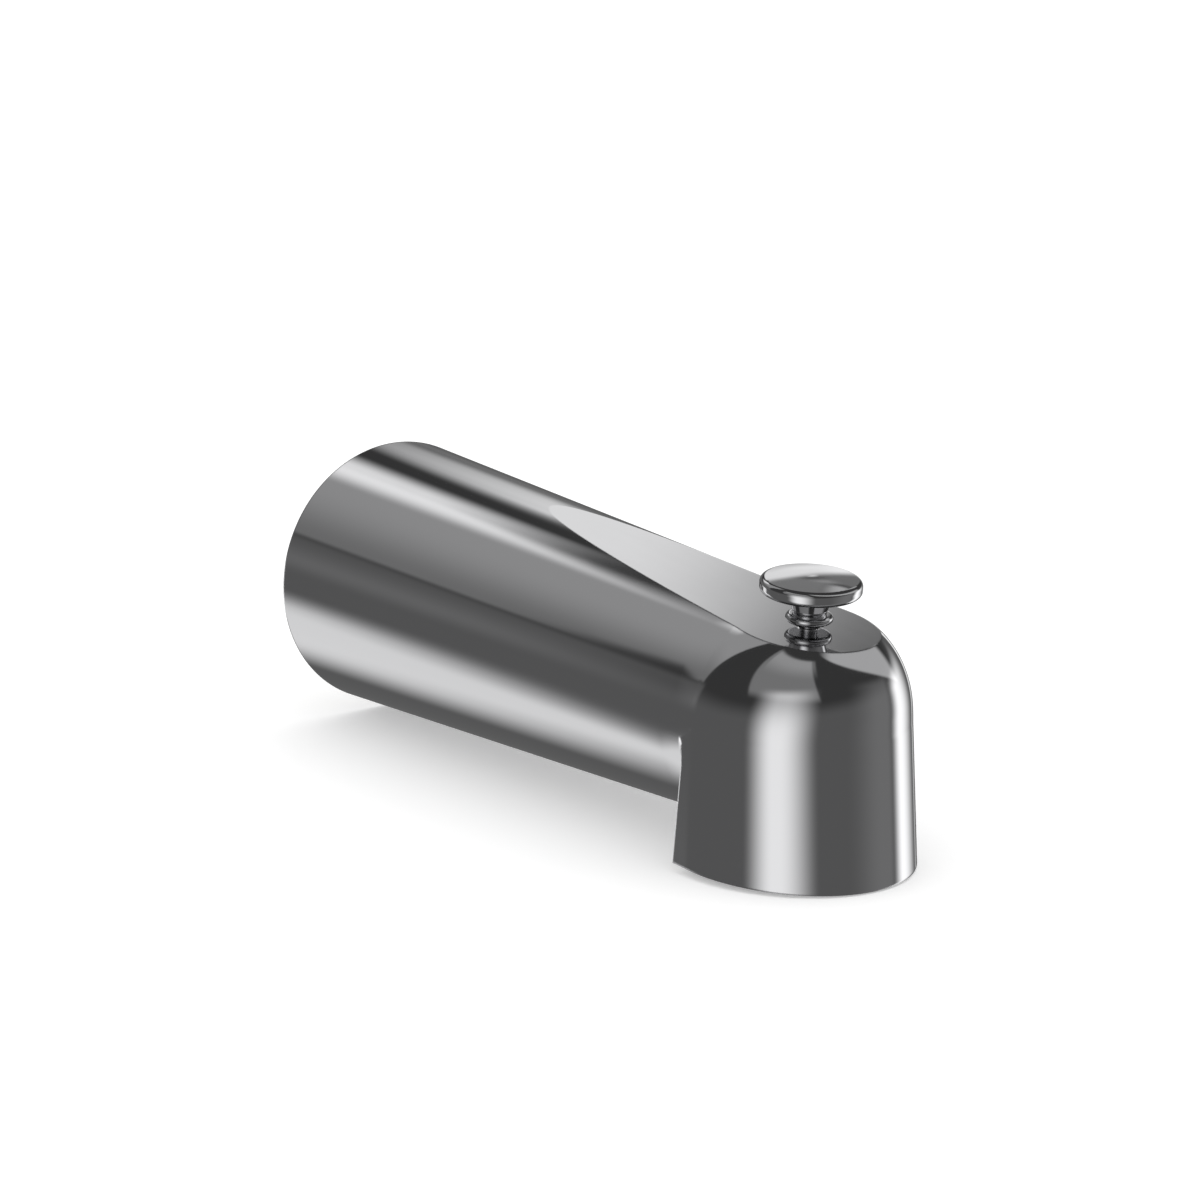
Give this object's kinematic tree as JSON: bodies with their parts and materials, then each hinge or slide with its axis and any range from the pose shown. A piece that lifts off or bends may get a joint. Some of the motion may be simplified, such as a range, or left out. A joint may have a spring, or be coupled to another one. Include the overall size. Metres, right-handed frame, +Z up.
{
  "type": "bath spout with pull-up diverter",
  "caption": "Tapered tubular bath spout with a flat-topped nose and a pull-up knob that slides a gate across its inner waterway.",
  "frame": {"origin": "centre of the wall face, on the tube's axis", "axes": "+Z up, -Y along the spout away from the wall, +X to the right of someone who faces the wall"},
  "size_m": [0.064, 0.191, 0.0665],
  "materials": {
    "polished_shell": "mirror-polished plating over a cast shell",
    "polished_knob": "mirror-polished plating over turned brass",
    "foam_gasket": "closed-cell foam rubber",
    "cast_brass": "machined casting",
    "drawn_brass": "drawn tube",
    "turned_brass": "turned",
    "stamped_brass": "stamped sheet",
    "ring_plastic": "moulded",
    "housing_plastic": "moulded",
    "spring_steel": "spring steel strip",
    "stainless_steel": "turned stainless steel",
    "seal_rubber": "moulded rubber",
    "gate_rubber": "moulded rubber"
  },
  "bodies": {
    "spout": {"spout_shell": "polished_shell", "wall_gasket": "foam_gasket", "inlet_adapter": "cast_brass", "centring_ring": "ring_plastic", "adapter_nut": "cast_brass", "retaining_clip": "spring_steel", "waterway_tube": "drawn_brass", "rear_o_ring": "seal_rubber", "front_o_ring": "seal_rubber", "diverter_housing": "housing_plastic", "housing_screws": "stainless_steel", "stem_bushing": "turned_brass", "stem_o_ring": "seal_rubber"},
    "diverter": {"lift_knob": "polished_knob", "lift_rod": "stainless_steel", "diverter_gate": "stamped_brass", "gate_seal": "gate_rubber", "seal_rivet": "turned_brass", "rod_washer": "stainless_steel", "rod_nut": "stainless_steel"}
  },
  "joints": [
    {"name": "diverter_lift", "type": "slide", "parent": "spout", "child": "diverter", "axis": [0, -0.0832, 0.9965], "range_m": [0, 0.012]}
  ]
}
